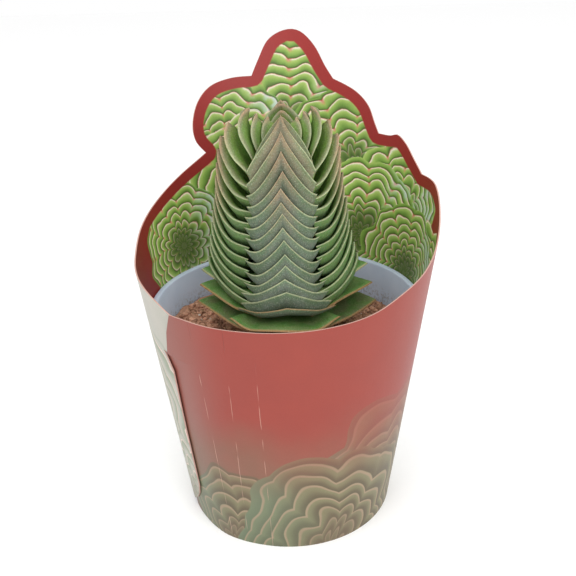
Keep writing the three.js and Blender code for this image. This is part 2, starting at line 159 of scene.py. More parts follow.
def mesh_piece(name, points, faces, layers=None, slot=None, node=None, merge=True, sharp=None):
    """A mesh object from points in millimetres and faces, with numbers kept on its points.

    With a slot of the record it rides on the one body, and with a node it stands for that node of the
    frame. Its doubles are merged, and edges sharper than an angle in degrees are kept sharp.
    """
    mesh = bpy.data.meshes.new(name)
    faces = faces if isinstance(faces, list) else faces.tolist()
    mesh.from_pydata((points.reshape(-1, 3) * MM).tolist(), [], faces)
    for layer, values in (layers or {}).items():
        kept = mesh.attributes.new(layer, "FLOAT", "POINT")
        kept.data.foreach_set("value", np.asarray(values, dtype=np.float32).ravel())
    if merge:
        work = bmesh.new()
        work.from_mesh(mesh)
        bmesh.ops.remove_doubles(work, verts=work.verts, dist=MERGE_DISTANCE)
        work.to_mesh(mesh)
        work.free()
    mesh.shade_smooth()
    if sharp:
        mesh.set_sharp_from_angle(angle=math.radians(sharp))
    piece = bpy.data.objects.new(name, mesh)
    scene.collection.objects.link(piece)
    if slot:
        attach(piece, "root")
    if node:
        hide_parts(node)
    print(name, len(mesh.vertices), "points", len(mesh.polygons), "faces")
    return piece


# %% [markdown]
# The leaves
#
# On the real plant each leaf is a small cup with a pointed lip. Its outer wall follows the column's
# outline down, and then turns in to the stem. Whole levels hold a front and a back leaf, half levels a
# left and a right one, so the four ranks mesh like a plait. Modelling seventy leaves by hand would be
# slow, and they would not nest. So one formula makes them all from the leaf's level on the stem: the
# sizes drift slowly from the bud to the old leaves at the foot, which lie open and flat.

# %% Leaf sizes down the column
DOME_TOP, DOME_BASE, DOME_POWER, DOME_END = 132.3, 117.0, 2.2, 0.985
COLUMN_RADIUS, COLUMN_TAPER, COLUMN_FLARE = 20.0, 0.12, 0.0008
TOP_TIP, TIP_PITCH, CROWN_STRETCH, CROWN_LEVELS = 130.8, 3.62, 3.6, (0.6, 4.6)
TOP_CORNER, CORNER_PITCH, BUD_DROP = 115.9, 3.3, 1.3
TOP_ROOT, ROOT_PITCH, ROOT_RADIUS = 112.0, 3.15, 3.0
BUD_LEVEL, BUD_TIP_LEVEL, BUD_SHRINK, BUD_SINK = -0.5, -0.3, 0.23, 1.6
SIDE_DIP, DIP_BEGINS, DIP_ENDS = 2.2, (-0.8, 0.5), (3.5, 1.5)
OPEN_SIDES, OPEN_FRONT, OPEN_SAG, SAG_LEVEL = (11.3, 12.5), (12.3, 14.0), 2.1, 12.0


def column_radius(z):
    """Radius of the column at the leaf tips: a round dome on top of a shaft that widens downwards."""
    rise = np.clip((z - DOME_BASE) / (DOME_TOP - DOME_BASE), 0, DOME_END)
    down = np.maximum(DOME_BASE - z, 0)
    dome = (1 - rise ** DOME_POWER) ** (1 / DOME_POWER)
    return COLUMN_RADIUS * dome + COLUMN_TAPER * down + COLUMN_FLARE * down ** 2


def opening(level, on_sides):
    """How far a leaf has opened: 0 for a cup that hugs the column, 1 for the oldest, which lie flat."""
    return np.where(on_sides, ease(level, *OPEN_SIDES), ease(level, *OPEN_FRONT))


def tip_height(level, on_sides):
    """Height of a leaf's tip: even steps down, longer ones at the dome's edge and where old leaves sag."""
    below = TOP_TIP - TIP_PITCH * level - CROWN_STRETCH * ease(level, *CROWN_LEVELS)
    below = below - OPEN_SAG * opening(level, on_sides) * np.maximum(level - SAG_LEVEL, 0)
    below = below - np.where(on_sides, SIDE_DIP * ease(level, *DIP_BEGINS) * ease(level, *DIP_ENDS), 0)
    return np.where(level < 0, TOP_TIP - BUD_DROP * np.maximum(BUD_TIP_LEVEL - level, 0), below)


front_levels = np.arange(-2, 15, 1.0)
side_levels = np.arange(-2.5, 15, 1.0)
level = np.repeat(np.concatenate([front_levels, side_levels]), 2)
other_side = np.tile([0, 1], len(level) // 2)
on_sides = level % 1 != 0
serial = 4 * level + other_side + 12
tips = tip_height(level, on_sides)
print(len(level), "leaves, tips from", tips.min().round(1), "to", tips.max().round(1))

# %% The cup of a leaf
FRONT_HALF_SPAN, SIDE_HALF_SPAN, BASE_WIDENING, WIDENING_LEVELS = 34.0, 62.0, 4.0, (8, 15)
FRONT_NARROWING, SIDE_NARROWING, SIDE_PINCH, PINCH_LEVELS = 0.42, 0.25, 0.08, (8, 3)
FRONT_SLOPE, SIDE_SLOPE, CROWN_SLOPE, CROWN_FADES = 0.3, 0.5, 0.6, (6, 0.5)
WALL_BEND, FLANK_DEPTH, PLAN_POWER, TIP_CURL, TIP_CURL_DEPTH = 3.2, 0.45, 1.4, 0.9, 1.5
HOOK, SIDE_HOOK_SHARE, HOOK_LEVELS = 1.6, 0.2, (1, 8)
SIDE_MARGIN, FRONT_MARGIN = (0.85, 0.55, 0.6, 2.8), (0.9, 0.37, 0.7, 1.75)
LOOSE_MARGIN, LOOSE_LEVELS, BLUNT_TIP, BLUNT_LEVELS = 1.3, (6, 12), 0.7, (9.5, 12.5)
OPEN_SLOPE, OPEN_DROP, OPEN_DEPTH, OPEN_REACH, OPEN_SPREAD = 1.15, 1.5, 2.6, 0.8, 6.0
OPEN_POINT, FRONT_POINT_SHARE, OPEN_WAVE = 0.36, 0.1, 0.5
LEAF_THICKNESS, EDGE_THICKNESS, THICKENING_DEPTH, RIM_ROUNDING = 1.0, 0.7, 2.6, 0.5
SIDE_THICKENING, CROWN_THICKENING, BUD_THICKENING = 0.6, 0.8, 0.9
TIP_SCATTER, SIZE_SCATTER, TURN_SCATTER = 0.3, 0.012, 1.2
RIGHT_SQUEEZE, SQUEEZE_FROM_AXIS, SQUEEZE_HEIGHTS = 2.0, (6, 20), (76, 92)


def margin_power(lev, start, rate, low, high):
    """The power by which a leaf's rim falls from its tip: it grows evenly with the level, between limits."""
    return np.clip(start + rate * lev, low, high)


def leaf_points(u, v, inner):
    """Points of all leaves at across u (-1 to 1) and down v (0 at the rim, 1 at the stem).

    The rim falls from the tip by a power of u. From there the outer face follows the column's outline
    down, drawing in a little all the way and then, as a power of v, sharply to the stem. In plan the
    column is a superellipse between a circle and a diamond. The inner face is the outer one moved inwards
    by the thickness, which is rounded off at the rim, grows towards the leaf's fleshy middle and runs out
    at its two ends. Also returns each point's distance from the rim, down the leaf.
    """
    each = (slice(None),) + (None,) * u.ndim
    lev, num, sided = level[each], serial[each], on_sides[each]
    opened = opening(lev, sided)
    tip = tip_height(lev, sided) + TIP_SCATTER * draw(num)
    corner = TOP_CORNER - CORNER_PITCH * np.maximum(lev, BUD_LEVEL)
    drop = (tip - corner) * (1 - opened) + OPEN_DROP * opened
    hook = np.where(sided, SIDE_HOOK_SHARE, 1) * HOOK * ease(lev, *HOOK_LEVELS)
    bud = np.maximum(BUD_LEVEL - lev, 0)
    scale = (1 - BUD_SHRINK * bud) * (1 + SIZE_SCATTER * draw(num + 900))
    side_power = margin_power(lev, *SIDE_MARGIN) - LOOSE_MARGIN * ease(lev, *LOOSE_LEVELS)
    power = np.where(sided, side_power, margin_power(lev, *FRONT_MARGIN))
    round_tip = ease(-lev, 0.2, 1.0) + np.where(sided, 0, BLUNT_TIP * ease(lev, *BLUNT_LEVELS))
    span = np.where(sided, SIDE_HALF_SPAN, FRONT_HALF_SPAN) + BASE_WIDENING * ease(lev, *WIDENING_LEVELS)
    span = span + OPEN_SPREAD * opened
    narrowing = np.where(sided, SIDE_NARROWING, FRONT_NARROWING) * (1 - opened)
    square = PLAN_POWER - OPEN_POINT * opened * np.where(sided, 1, FRONT_POINT_SHARE)

    aside = np.abs(u)
    fallen = (1 - np.maximum(1 - aside, 0) ** power) * (1 - round_tip) + aside ** 2 * round_tip
    z = tip - drop * fallen + hook * (ease(aside, 0.5, 1.1) - 0.3 * np.sin(np.pi * aside))
    z = z + OPEN_WAVE * opened * np.sin(5 * u + 3 * draw(num + 70)) * (1 - aside ** 4)
    depth = (tip - TOP_ROOT + ROOT_PITCH * lev) * (1 - opened) + OPEN_DEPTH * opened
    depth = depth * (1 - FLANK_DEPTH * aside)
    pinch = np.where(sided, SIDE_PINCH * ease(lev, *PINCH_LEVELS), 0.0) * ease(aside, 0.6, 1)
    crown = ease(lev, *CROWN_FADES)
    slope = np.where(sided, SIDE_SLOPE + CROWN_SLOPE * crown, FRONT_SLOPE)

    def outer_face(v):
        """Angle, radius and height of the outer face at down v."""
        fall = (1 - (1 - v) ** 2) * (1 - opened) + (1 - (1 - v) ** OPEN_SLOPE) * opened
        angle = np.radians(span * u * (1 - narrowing * fall))
        plan = (np.cos(angle) ** square + np.abs(np.sin(angle)) ** square) ** (-1 / square)
        wide = column_radius(z - depth * fall + BUD_SINK * bud) * plan * scale * (1 - pinch)
        wide = wide - slope * depth * fall + OPEN_REACH * opened
        wide = wide - TIP_CURL * (1 - aside) ** 3 * np.exp(-depth * fall / TIP_CURL_DEPTH) * (1 - opened)
        wide = np.maximum(wide, ROOT_RADIUS + 1)
        inset = v ** (WALL_BEND * (1 - opened) + OPEN_SLOPE * opened)
        return angle, ROOT_RADIUS + (wide - ROOT_RADIUS) * (1 - inset), z - depth * fall

    angle, r, h = outer_face(v)
    ahead, behind = outer_face(np.minimum(v + 0.01, 1)), outer_face(np.maximum(v - 0.01, 0))
    along_r, along_z = ahead[1] - behind[1], ahead[2] - behind[2]
    length = np.maximum(np.hypot(along_r, along_z), 1e-6)
    below = np.hypot(outer_face(0 * v)[1] - r, z - h)
    fleshy = np.where(sided, SIDE_THICKENING + CROWN_THICKENING * crown, BUD_THICKENING * ease(lev, 1, 0))
    full = LEAF_THICKNESS + fleshy * (1 - opened)
    body = ease(below, -0.3, THICKENING_DEPTH) * (1 - 0.2 * aside ** 3)
    rounded = np.sqrt(np.clip(below / RIM_ROUNDING, 0.1, 1)) * np.sqrt(np.maximum(1 - aside ** 8, 0))
    thickness = inner * rounded * (EDGE_THICKNESS + (full - EDGE_THICKNESS) * body)
    r = r + thickness * along_z / length
    h = h - thickness * along_r / length
    turn = np.where(on_sides, 90, 0) + 180 * other_side + TURN_SCATTER * draw(serial + 500)
    turn = np.radians(turn)[each]
    x, y = r * np.sin(turn + angle), -r * np.cos(turn + angle)
    x = x - RIGHT_SQUEEZE * ease(x, *SQUEEZE_FROM_AXIS) * ease(h, *SQUEEZE_HEIGHTS)
    return np.stack([x, y, h], -1), below


# %% All leaves in one mesh
ACROSS, EVEN_SHARE, CROWDED_SHARE = 36, 0.55, 0.45
DOWN_STEPS = [0, 0.006, 0.015, 0.03, 0.06, 0.11, 0.17, 0.24, 0.33, 0.44, 0.56, 0.68, 0.8, 0.91, 1]
u_line = np.linspace(-1, 1, ACROSS + 1)
u_line = EVEN_SHARE * u_line + CROWDED_SHARE * np.sin(u_line * np.pi / 2)
v_loop = np.array(DOWN_STEPS[::-1] + DOWN_STEPS)
inner_loop = np.repeat([0.0, 1.0], len(DOWN_STEPS))
u_grid, v_grid = np.meshgrid(u_line, v_loop, indexing="ij")
leaf_grid, below_rim = leaf_points(u_grid, v_grid, inner_loop + 0 * u_grid)
leaf_faces = copied_faces(grid_faces(*u_grid.shape, close_columns=True), len(level), u_grid.size)
everywhere = np.ones((len(level), *u_grid.shape))
leaves = mesh_piece("leaves", leaf_grid, leaf_faces, slot="leaf", node="leafy_stem", layers={
    "below": below_rim,
    "aside": np.abs(u_grid) * everywhere,
    "inside": inner_loop * everywhere,
    "age": level[:, None, None] * everywhere,
    "facing": np.where(on_sides, 0, 1)[:, None, None] * everywhere,
    "chance": draw(serial + 40)[:, None, None] * everywhere,
})

# %% [markdown]
# The stem
#
# The real stem can't be seen between the leaves, but light that finds a way in must meet something.
# A turned body fills the middle of the column up to the bud, and its foot stands in the soil.

# %% Turn a profile round the upright axis


def turned(profile, steps, downwards=False):
    """Points and faces of a profile of [radius, height] carried round the Z axis, one row a step.

    The profile runs up the outside, or down it where downwards is true, so that all faces look outwards.
    """
    radius, height = np.array(profile, dtype=float).T
    turn = np.linspace(0, 2 * np.pi, steps, endpoint=False)[:, None]
    faces = grid_faces(steps, len(radius), close_rows=True)
    points = np.stack([radius * np.sin(turn), radius * np.cos(turn), height + 0 * turn], -1)
    return points, faces if downwards else faces[:, ::-1]


STEM_PROFILE = [
    (0, 40), (4.3, 40), (4.5, 41), (4.5, 60), (8, 64), (8.5, 70), (8.5, 106), (7, 112), (4, 116), (0, 118),
]
STEM_STEPS, STEM_AGE = 32, 12.0
stem_points, stem_faces = turned(STEM_PROFILE, STEM_STEPS)
stem = mesh_piece("stem", stem_points, stem_faces, slot="leaf", node="leafy_stem",
                  layers={"age": np.full(stem_points.shape[:2], STEM_AGE)})

# %% [markdown]
# The pot
#
# A nursery pot is blown or moulded in one thin wall, with a rolled lip that lets pots nest, a rounded
# foot and drainage holes. A profile turned round the axis gives the wall, the lip and the floor at once,
# and the holes are cut afterwards, because a turned grid can't have them.

# %% Pot profile
POT_HEIGHT, POT_RIM_RADIUS, POT_BASE_RADIUS = 70.2, 42.5, 29.5
POT_WALL, POT_FLOOR, POT_ROUND = 1.1, 1.6, 1.4
LIP_DEPTH, LIP_WIDTH, LIP_TAPER = 5.5, 0.9, 0.8
LIP_ROUND, LIP_FOOT_ROUND, LIP_ROOT_ROUND = 0.6, 0.3, 0.2
FLOOR_RING = 8
DRAIN_COUNT, DRAIN_RADIUS, DRAIN_CIRCLE = 6, 3.0, 21.0
POT_STEPS, DRAIN_STEPS = 160, 32


def pot_radius(z):
    """Radius of the pot's body outside: a straight taper from the foot to below the lip."""
    return POT_BASE_RADIUS + (POT_RIM_RADIUS - LIP_WIDTH - POT_BASE_RADIUS) * z / POT_HEIGHT


def inner_wall(z):
    """Radius of the pot's wall inside."""
    return pot_radius(z) - POT_WALL


def arc(centre, radius, start, end, steps):
    """Points [radius, height] of a circular arc in the profile, from one angle to another in degrees."""
    turn = np.radians(np.linspace(start, end, steps))
    return np.stack([centre[0] + radius * np.cos(turn), centre[1] + radius * np.sin(turn)], -1)


lip_foot = POT_HEIGHT - LIP_DEPTH
pot_profile = np.vstack([
    [(0, 0), (FLOOR_RING, 0), (POT_BASE_RADIUS - 3, 0)],
    arc((POT_BASE_RADIUS - POT_ROUND, POT_ROUND), POT_ROUND, -90, 0, 6),
    [(pot_radius(z), z) for z in np.linspace(4, lip_foot - 2 * LIP_ROOT_ROUND, 12)],
    arc((pot_radius(lip_foot) + LIP_ROOT_ROUND, lip_foot - LIP_ROOT_ROUND), LIP_ROOT_ROUND, 180, 90, 3),
    arc((POT_RIM_RADIUS - LIP_TAPER - LIP_FOOT_ROUND, lip_foot + LIP_FOOT_ROUND), LIP_FOOT_ROUND, -90, 0, 4),
    [(POT_RIM_RADIUS - LIP_TAPER / 2, POT_HEIGHT - LIP_DEPTH / 2)],
    arc((POT_RIM_RADIUS - LIP_ROUND, POT_HEIGHT - LIP_ROUND), LIP_ROUND, 0, 90, 5),
    arc((inner_wall(POT_HEIGHT) + LIP_ROUND, POT_HEIGHT - LIP_ROUND), LIP_ROUND, 90, 180, 5),
    [(inner_wall(z), z) for z in np.linspace(POT_HEIGHT - 1.5, POT_FLOOR + 2, 14)],
    arc((inner_wall(POT_FLOOR) - POT_ROUND, POT_FLOOR + POT_ROUND), POT_ROUND, 0, -90, 5),
    [(POT_BASE_RADIUS - 5, POT_FLOOR), (FLOOR_RING, POT_FLOOR), (0, POT_FLOOR)],
])
pot = mesh_piece("pot_wall", *turned(pot_profile, POT_STEPS), slot="pot_plastic", node="pot", sharp=50)

# %% Drainage holes
drain_profile = [(0, -2), (DRAIN_RADIUS, -2), (DRAIN_RADIUS, 4), (0, 4)]
drain_turn = np.arange(DRAIN_COUNT) * 2 * np.pi / DRAIN_COUNT
drain_place = np.stack([np.cos(drain_turn), np.sin(drain_turn), 0 * drain_turn], -1) * DRAIN_CIRCLE
drain_points, drain_faces = turned(drain_profile, DRAIN_STEPS)
drain_faces = copied_faces(drain_faces, DRAIN_COUNT, drain_points[..., 0].size)
drill = mesh_piece("drill", drain_points[None] + drain_place[:, None, None], drain_faces)
cut = pot.modifiers.new("holes", "BOOLEAN")
cut.object = drill
cut.solver = "EXACT"
pierced = bpy.data.meshes.new_from_object(pot.evaluated_get(bpy.context.evaluated_depsgraph_get()))
pot.modifiers.clear()
pot.data = pierced
pot.data.name = "pot_wall"
bpy.data.objects.remove(drill)
print("pot with holes", len(pot.data.polygons), "faces")

# %% [markdown]
# The soil
#
# Peaty potting soil is a crumbly surface, higher on the left where it was pressed against the wall. The
# bed is a closed turned body whose top rows are lifted by the bank's formula and by noise of three
# sizes. Noise alone looks like cloth, so real crumbs lie on it: one lump with few faces, repeated with
# its own size, stretch and turn each time, and a few white specks of perlite among them.

# %% The bed
SOIL_LEVEL, SOIL_BANK, BANK_FROM_AXIS, SOIL_BUMP = 58.4, 2.2, (12, 36), 0.45
SOIL_GAP, SOIL_FOOT, SOIL_CHAMFER = 0.3, 1.9, 1.4
SOIL_STEPS, SOIL_RINGS = 240, 62


def soil_height(x, y):
    """Height of the soil: a level, a bank that rises towards the left wall, and long low waves."""
    waves = np.sin(0.55 * x + 1.3) * np.cos(0.48 * y) + 0.6 * np.sin(0.31 * x - 0.83 * y)
    return SOIL_LEVEL + SOIL_BANK * ease(-x, *BANK_FROM_AXIS) + SOIL_BUMP * waves


def crumble(x, y):
    """Small roughness of the soil: noise of three sizes, each about half as high as the one before."""
    return 0.5 * bumps(x, y, 2.6, 3) + 0.35 * bumps(x, y, 1.2, 17) + 0.2 * bumps(x, y, 0.6, 31)


def soil_wall(z):
    """Radius of the soil where it lies against the pot's wall."""
    return inner_wall(z) - SOIL_GAP


soil_profile = [(radius, SOIL_LEVEL) for radius in np.linspace(0, soil_wall(SOIL_LEVEL - 1), SOIL_RINGS)]
soil_profile += [(soil_wall(z), z) for z in (50, 40, 30, 20, 10, 4)]
soil_profile += [(soil_wall(2) - SOIL_CHAMFER, SOIL_FOOT), (0, SOIL_FOOT)]
soil_points, soil_faces = turned(soil_profile, SOIL_STEPS, downwards=True)
surface = soil_points[:, :SOIL_RINGS]
inland = ease(SOIL_RINGS - 1 - np.arange(SOIL_RINGS), 0, 2)
surface[..., 2] = soil_height(surface[..., 0], surface[..., 1])
surface[..., 2] += crumble(surface[..., 0], surface[..., 1]) * inland
bed = mesh_piece("soil_bed", soil_points, soil_faces, slot="potting_soil", node="soil",
                 layers={"tint": np.zeros(soil_points.shape[:2])})

# %% A lump with few faces
lump_mesh = bmesh.new()
bmesh.ops.create_icosphere(lump_mesh, subdivisions=1, radius=1)
lump_points = np.array([vertex.co for vertex in lump_mesh.verts])
lump_faces = np.array([[vertex.index for vertex in face.verts] for face in lump_mesh.faces])
lump_mesh.free()
print("lump", len(lump_points), "points", len(lump_faces), "faces")


def lumps(count, seed, inner_radius, outer_radius, sizes, sink):
    """Many lumps on the soil: each is the one lump, made uneven, stretched, turned and set down.

    Their places have an even density over the ring, and their sizes are drawn so that most are small.
    """
    number = np.arange(count) + seed

    def chance(k):
        """The k-th draw of each lump, from 0 to 1."""
        return 0.5 + 0.5 * draw(number * 7.13 + k)

    radius = np.sqrt(inner_radius ** 2 + (outer_radius ** 2 - inner_radius ** 2) * chance(1))
    turn = 2 * np.pi * chance(2)
    x, y = radius * np.sin(turn), radius * np.cos(turn)
    size = sizes[0] + (sizes[1] - sizes[0]) * chance(3) ** 2.5
    stretch = np.stack([1 + 0.9 * chance(4) ** 2, 0.7 + 0.4 * chance(5), 0.5 + 0.35 * chance(6)], -1)
    uneven = 1 + 0.22 * draw(number[:, None] * 3.7 + np.arange(len(lump_points)) * 11.3)
    points = lump_points[None] * uneven[..., None] * (stretch * size[:, None])[:, None]
    spin, lean = 2 * np.pi * chance(7)[:, None], 0.6 * draw(number * 5.1 + 8)[:, None]
    px, py, pz = points[..., 0], points[..., 1], points[..., 2]
    px, pz = px * np.cos(lean) - pz * np.sin(lean), px * np.sin(lean) + pz * np.cos(lean)
    px, py = px * np.cos(spin) - py * np.sin(spin), px * np.sin(spin) + py * np.cos(spin)
    lift = (soil_height(x, y) + crumble(x, y) + sink * size)[:, None]
    placed = np.stack([px + x[:, None], py + y[:, None], pz + lift], -1)
    tint = np.repeat(draw(number * 2.3 + 9), len(lump_points))
    return placed, copied_faces(lump_faces, count, len(lump_points)), tint


# %% Crumbs and perlite
crumb_points, crumb_faces, crumb_tint = lumps(
    count=3400, seed=11, inner_radius=12, outer_radius=36.2, sizes=(0.22, 1.25), sink=0.1)
crumbs = mesh_piece("crumbs", crumb_points, crumb_faces, slot="potting_soil", node="soil", merge=False,
                    layers={"tint": crumb_tint})
speck_points, speck_faces, _ = lumps(
    count=70, seed=907, inner_radius=20, outer_radius=36, sizes=(0.25, 0.8), sink=0.35)
perlite = mesh_piece("perlite", speck_points, speck_faces, slot="potting_soil", node="soil", merge=False)

# %% [markdown]
# The sleeve
#
# The real sleeve is one flat sheet of thin printed card. It is die-cut, rolled to a cone and locked to
# itself at the front left by two slits: above the lock the front panel lies outside, below it the back
# panel's flap does. So it is made flat here too. Its outline is filled with a triangle mesh that has a
# point every two millimetres, and the flat sheet is then rolled by the cone's formula. A grid alone
# could not do this, because the lobes overhang and the lock lets two layers pass one another.

# %% The flat outline
CARD = 0.4
SLEEVE_BASE_RADIUS, SLEEVE_TAPER = 33.1, 0.1382
LOCK_HEIGHT, LOCK_SLIT, LOCK_LIFT, LOCK_FLAT, LOCK_BLEND = 66.0, 0.3, 0.56, 10.0, 26.0
BACK_SLIT_ROOT, BACK_TAB_END, BACK_FLAP_END = -124.0, -140.0, -130.0
FRONT_SLIT_ROOT, FRONT_TAB_END, FRONT_TONGUE_FLAT, FRONT_TONGUE_END = 218.0, 231.5, 236.0, 250.0
DEGREE = 0.78
CURVE_STEP, SHEET_STEP = 1.2, 2.0

TOP_EDGE = [
    [(-140, 79), (-132, 81.4), (-125, 83.4), (-112, 85.2), (-94, 87.6), (-78, 92.2), (-59, 97.8),
     (-41, 104), (-33.6, 107)],
    [(-33.6, 107), (-37.4, 111.4), (-37.8, 117), (-34.6, 123.6), (-28.5, 128.4), (-20, 130.4),
     (-11.8, 130.6)],
    [(-11.8, 130.6), (-9, 135.7), (-5, 142), (1, 145), (6.6, 144.6), (12, 140), (16.2, 133.6), (19.6, 129.4)],
    [(19.6, 129.4), (28.8, 125.9), (34.8, 121.6), (38.2, 116.4), (40.6, 113)],
    [(40.6, 113), (46, 113), (50, 113.8), (55, 111.6), (60.9, 107.6), (67, 104.2)],
    [(67, 104.2), (77, 104), (84, 101.8), (94, 96.6), (104, 92), (118, 88.2), (134, 85.6), (148, 82.8),
     (164, 81.6), (180, 81.1), (204, 80.9), (216, 81.2), (224.5, 81.2)],
]
SHEET_ENDS = [
    (224.5, 81.2), (228.5, 74.5), (FRONT_TAB_END, LOCK_HEIGHT + LOCK_SLIT), (FRONT_SLIT_ROOT, LOCK_HEIGHT),
    (FRONT_TONGUE_END, LOCK_HEIGHT - LOCK_SLIT), (FRONT_TONGUE_END, 0), (-96, 0), (-104, 1.2), (-112, 3.6),
    (-119.5, 7.2), (-124.2, 11), (-127.2, 15.5), (-128, 38), (BACK_FLAP_END, 60.5),
    (BACK_SLIT_ROOT - 1.5, LOCK_HEIGHT - LOCK_SLIT), (BACK_SLIT_ROOT, LOCK_HEIGHT),
    (BACK_TAB_END, LOCK_HEIGHT + LOCK_SLIT), (BACK_TAB_END, 79),
]


def smooth_curve(stretch, steps=12):
    """A curve through given points: each stretch between two is a cubic set by its four neighbours."""
    p = np.array(stretch, dtype=float)
    p = np.vstack([p[:1], p, p[-1:]])
    t = np.linspace(0, 1, steps, endpoint=False)[None, :, None]
    a, b, c, d = p[:-3, None], p[1:-2, None], p[2:-1, None], p[3:, None]
    ahead, behind = (c - a) / 2, (d - b) / 2
    curve = (2 * b - 2 * c + ahead + behind) * t ** 3 + (-3 * b + 3 * c - 2 * ahead - behind) * t ** 2
    return (curve + ahead * t + b).reshape(-1, 2)


def resampled(line, spacing):
    """Points at an even spacing along a line of points, without its last one."""
    steps = np.hypot(*(np.diff(line, axis=0) * (DEGREE, 1)).T)
    along = np.concatenate([[0], np.cumsum(steps)])
    places = np.linspace(0, along[-1], max(1, round(along[-1] / spacing)), endpoint=False)
    return np.stack([np.interp(places, along, line[:, k]) for k in (0, 1)], -1)


outline = [resampled(np.vstack([smooth_curve(stretch), stretch[-1:]]), CURVE_STEP) for stretch in TOP_EDGE]
for pair in zip(SHEET_ENDS[:-1], SHEET_ENDS[1:]):
    outline.append(resampled(np.array(pair, dtype=float), SHEET_STEP))
outline = np.vstack(outline)
print("outline", len(outline), "points")

# %% Fill the outline with triangles
SHEET_TOP, LOWEST_ROW, EDGE_CLEARANCE = 145, 1.2, 0.7


def distance_to(points, line):
    """Distance of each point to a closed line, in the flat sheet's millimetres, from its nearest stretch."""
    a = line[None] * (DEGREE, 1)
    ahead = np.roll(a, -1, axis=1) - a
    away = points[:, None] * (DEGREE, 1) - a
    t = np.clip((away * ahead).sum(-1) / np.maximum((ahead ** 2).sum(-1), 1e-9), 0, 1)
    return np.hypot(*np.moveaxis(away - ahead * t[..., None], -1, 0)).min(1)


def inside_of(points, line):
    """Whether points lie inside a closed line: a level ray from there crosses it an odd number of times."""
    start, end = line[None], np.roll(line, -1, axis=0)[None]
    x, y = points[:, None, 0], points[:, None, 1]
    straddles = (start[..., 1] > y) != (end[..., 1] > y)
    rise = np.where(end[..., 1] == start[..., 1], 1, end[..., 1] - start[..., 1])
    crossing = start[..., 0] + (y - start[..., 1]) * (end[..., 0] - start[..., 0]) / rise
    return (straddles & (x < crossing)).sum(1) % 2 == 1


angles = np.arange(BACK_TAB_END + 1, FRONT_TONGUE_END, SHEET_STEP / DEGREE)
heights = np.arange(LOWEST_ROW, SHEET_TOP, SHEET_STEP)
lattice = np.stack(np.meshgrid(angles, heights), -1)
lattice[1::2, :, 0] += SHEET_STEP / DEGREE / 2
lattice = lattice.reshape(-1, 2)
lattice = lattice[inside_of(lattice, outline)]
lattice = lattice[distance_to(lattice, outline) > EDGE_CLEARANCE]
flat = np.vstack([outline, lattice])
ring = list(range(len(outline)))
filled = geometry.delaunay_2d_cdt((flat * (DEGREE, 1)).tolist(), [], [ring], 1, 1e-4)
sheet_flat = np.array([tuple(point) for point in filled[0]]) / (DEGREE, 1)
sheet_faces = np.array(filled[2])
print("sheet", len(sheet_flat), "points", len(sheet_faces), "triangles")

# %% Roll the sheet


def sheet_lift(angle, z):
    """How far the sheet stands out from the plain cone: the two panels change places across the slits."""
    above = z > LOCK_HEIGHT
    back_end = np.where(above, BACK_TAB_END, BACK_FLAP_END)
    back = np.clip((BACK_SLIT_ROOT - angle) / (BACK_SLIT_ROOT - back_end), 0, 1)
    front_end = np.where(above, FRONT_TAB_END, FRONT_TONGUE_FLAT)
    front = np.clip((angle - FRONT_SLIT_ROOT) / (front_end - FRONT_SLIT_ROOT), 0, 1)
    blend_from = BACK_SLIT_ROOT + LOCK_FLAT
    lift = 1 - ease(angle, blend_from, blend_from + LOCK_BLEND)
    lift = lift + ease(angle, FRONT_SLIT_ROOT - LOCK_BLEND, FRONT_SLIT_ROOT)
    lift = np.where(angle < BACK_SLIT_ROOT, np.where(above, 1 - back, 1 + back), lift)
    return LOCK_LIFT * np.where(angle > FRONT_SLIT_ROOT, np.where(above, 1 + front, 1 - front), lift)


def rolled(flat, out):
    """The flat sheet on its cone: the angle goes round, and the radius grows evenly with the height."""
    angle, z = flat.T
    radius = SLEEVE_BASE_RADIUS + SLEEVE_TAPER * z + sheet_lift(angle, z) + out
    return np.stack([radius * np.sin(np.radians(angle)), radius * np.cos(np.radians(angle)), z], -1)


def boundary(faces):
    """Directed edges that only one triangle uses, as an array of pairs."""
    edges = np.vstack([faces[:, [0, 1]], faces[:, [1, 2]], faces[:, [2, 0]]])
    stride = faces.max() + 1
    keys = edges[:, 0] * stride + edges[:, 1]
    back = edges[:, 1] * stride + edges[:, 0]
    return edges[~np.isin(keys, back)]


corner = sheet_flat[sheet_faces]
turning = np.cross(corner[:, 1] - corner[:, 0], corner[:, 2] - corner[:, 0])
sheet_faces[turning < 0] = sheet_faces[turning < 0][:, ::-1]
count = len(sheet_flat)
rim = boundary(sheet_faces)
outer_faces = sheet_faces[:, ::-1] + count
rim_faces = np.stack([rim[:, 1], rim[:, 0], rim[:, 0] + count, rim[:, 1] + count], -1)
card_points = np.vstack([rolled(sheet_flat, 0), rolled(sheet_flat, CARD)])
card_faces = sheet_faces.tolist() + outer_faces.tolist() + rim_faces.tolist()
card_layers = {"around": sheet_flat[:, 0], "up": sheet_flat[:, 1], "margin": distance_to(sheet_flat, outline)}
card_layers = {layer: np.tile(values, 2) for layer, values in card_layers.items()}
card = mesh_piece("card_sleeve", card_points, card_faces, layers=card_layers, slot="printed_card",
                  node="sleeve", merge=False, sharp=40)
sides = np.repeat([0, 1, 2], [len(sheet_faces), len(outer_faces), len(rim_faces)])
print("sleeve faces inside, outside and on the edge", np.bincount(sides))

# %% [markdown]
# Writing shaders as formulas
#
# A finish made of nodes is a formula over the surface. In the node editor a formula of thirty terms is
# hard to read and harder to change. So one small class wraps a socket: plain arithmetic on it adds Math
# nodes, and one method adds any other node. The materials below then read like the surfaces above.

# %% A wire in a node tree


